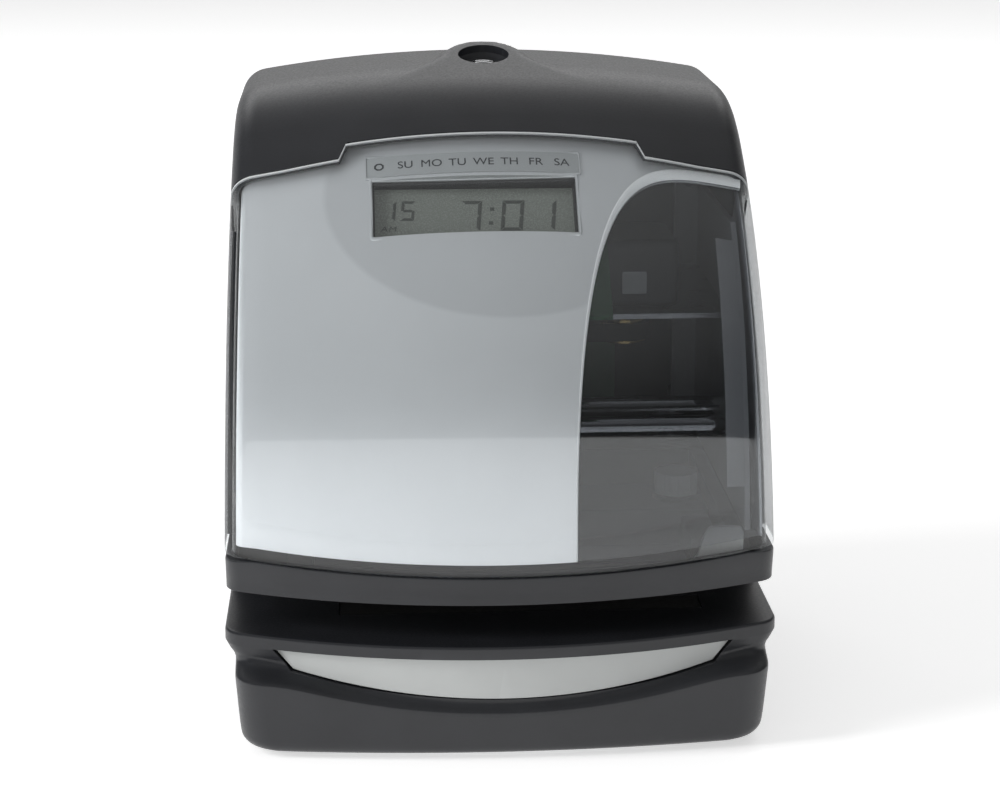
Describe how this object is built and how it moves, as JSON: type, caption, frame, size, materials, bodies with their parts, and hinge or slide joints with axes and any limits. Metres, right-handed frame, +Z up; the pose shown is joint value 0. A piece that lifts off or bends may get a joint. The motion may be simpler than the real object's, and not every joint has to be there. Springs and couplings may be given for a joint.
{
  "type": "punch time clock",
  "caption": "Desk document time stamp: black housing with a front paper mouth, push bar, keyed lift-off case, clear cover, display and a belt-driven print carriage.",
  "frame": {"origin": "middle of the bounding box in plan, on the plane the feet stand on", "axes": "+X to the right seen from the front, +Y to the rear, +Z up"},
  "size_m": [0.1558, 0.152, 0.1854],
  "materials": {
    "black_plastic": "fine satin moulding texture",
    "sheet_steel": "zinc plated sheet",
    "rubber": "matt",
    "bar_plastic": "satin silver grey",
    "dark_resin": "satin",
    "chrome": "polished",
    "brass": "turned",
    "ribbon_fabric": "woven, inked",
    "pale_resin": "satin",
    "circuit_board": "solder resist",
    "battery_wrap": "shrink wrap",
    "lcd_glass": "glass over a reflective display",
    "clear_plastic": "clear moulded plastic",
    "silver_paint": "satin silver paint",
    "smoked_plastic": "smoked gloss plastic",
    "label_film": "printed film"
  },
  "bodies": {
    "base": {"base_housing": "black_plastic", "upper_jaw": "black_plastic", "rear_cover": "black_plastic", "bottom_plate": "sheet_steel", "platen_support": "sheet_steel", "side_frame_left": "sheet_steel", "side_frame_right": "sheet_steel", "cross_plate": "sheet_steel", "lock_catch": "sheet_steel", "idler_pin": "sheet_steel", "foot_front_left": "rubber", "foot_front_right": "rubber", "foot_rear_left": "rubber", "foot_rear_right": "rubber", "platen_pad": "rubber", "drive_belt": "rubber", "print_switch": "dark_resin", "rear_screw_upper_left": "sheet_steel", "rear_screw_upper_right": "sheet_steel", "rear_screw_lower_left": "sheet_steel", "rear_screw_lower_right": "sheet_steel", "guide_rod_front": "chrome", "guide_rod_rear": "chrome", "ribbon_cassette": "dark_resin", "ribbon_band": "ribbon_fabric", "ribbon_tab": "pale_resin", "carriage_motor": "dark_resin", "main_board": "circuit_board", "display_board": "circuit_board", "processor_chip": "dark_resin", "capacitor_1": "dark_resin", "capacitor_2": "dark_resin", "backup_battery": "battery_wrap", "dc_inlet": "dark_resin", "lcd_glass": "lcd_glass", "lcd_frame": "dark_resin"},
    "case": {"hood": "black_plastic", "clear_cover": "clear_plastic", "display_panel": "silver_paint", "window_lens": "smoked_plastic", "weekday_label": "label_film", "lock_barrel": "chrome", "lock_nut": "sheet_steel"},
    "lock": {"lock_plug": "chrome", "lock_cam": "sheet_steel", "cam_screw": "brass"},
    "bar": {"print_bar": "bar_plastic"},
    "plunger": {"switch_plunger": "pale_resin"},
    "carriage_unit": {"carriage": "dark_resin", "print_head": "dark_resin"},
    "drive_wheel": {"drive_pulley": "brass"},
    "idler_wheel": {"idler_pulley": "brass"},
    "ribbon_wheel": {"ribbon_knob": "pale_resin"},
    "key_1": {"setup_key_1": "pale_resin"},
    "key_2": {"setup_key_2": "pale_resin"},
    "key_3": {"setup_key_3": "pale_resin"},
    "key_4": {"setup_key_4": "pale_resin"}
  },
  "joints": [
    {"name": "case_lift", "type": "slide", "parent": "base", "child": "case", "axis": [0, 0, 1], "range_m": [0, 0.13]},
    {"name": "lock_turn", "type": "hinge", "parent": "case", "child": "lock", "pos_m": [0, 0.041, 0.1827], "axis": [0, -0.2588, 0.9659], "range_deg": [0, 90]},
    {"name": "bar_press", "type": "slide", "parent": "base", "child": "bar", "axis": [0, 1, 0], "range_m": [0, 0.0024], "stiffness_N_per_m": 900, "springref_m": -0.0008},
    {"name": "plunger_slide", "type": "slide", "parent": "base", "child": "plunger", "axis": [0, 1, 0], "range_m": [0, 0.0024]},
    {"name": "carriage_slide", "type": "slide", "parent": "base", "child": "carriage_unit", "axis": [1, 0, 0], "range_m": [-0.028, 0.036]},
    {"name": "drive_spin", "type": "hinge", "parent": "base", "child": "drive_wheel", "pos_m": [0.04, 0.008, 0.1045], "axis": [0, 0, 1], "range_deg": [-300, 300]},
    {"name": "idler_spin", "type": "hinge", "parent": "base", "child": "idler_wheel", "pos_m": [-0.05, 0.008, 0.1045], "axis": [0, 0, 1], "range_deg": [-300, 300]},
    {"name": "ribbon_turn", "type": "hinge", "parent": "base", "child": "ribbon_wheel", "pos_m": [0.054, -0.015, 0.063], "axis": [0, 0, 1], "continuous": true},
    {"name": "key_1_press", "type": "slide", "parent": "base", "child": "key_1", "axis": [0, 0.6933, -0.7207], "range_m": [0, 0.0008], "stiffness_N_per_m": 1200, "springref_m": -0.0003},
    {"name": "key_2_press", "type": "slide", "parent": "base", "child": "key_2", "axis": [0, 0.6933, -0.7207], "range_m": [0, 0.0008], "stiffness_N_per_m": 1200, "springref_m": -0.0003},
    {"name": "key_3_press", "type": "slide", "parent": "base", "child": "key_3", "axis": [0, 0.6933, -0.7207], "range_m": [0, 0.0008], "stiffness_N_per_m": 1200, "springref_m": -0.0003},
    {"name": "key_4_press", "type": "slide", "parent": "base", "child": "key_4", "axis": [0, 0.6933, -0.7207], "range_m": [0, 0.0008], "stiffness_N_per_m": 1200, "springref_m": -0.0003}
  ],
  "couplings": [
    {"joint": "plunger_slide", "follows": "bar_press", "ratio": 1},
    {"joint": "drive_spin", "follows": "carriage_slide", "rad_per_m": 129.03},
    {"joint": "idler_spin", "follows": "carriage_slide", "rad_per_m": 129.03}
  ]
}
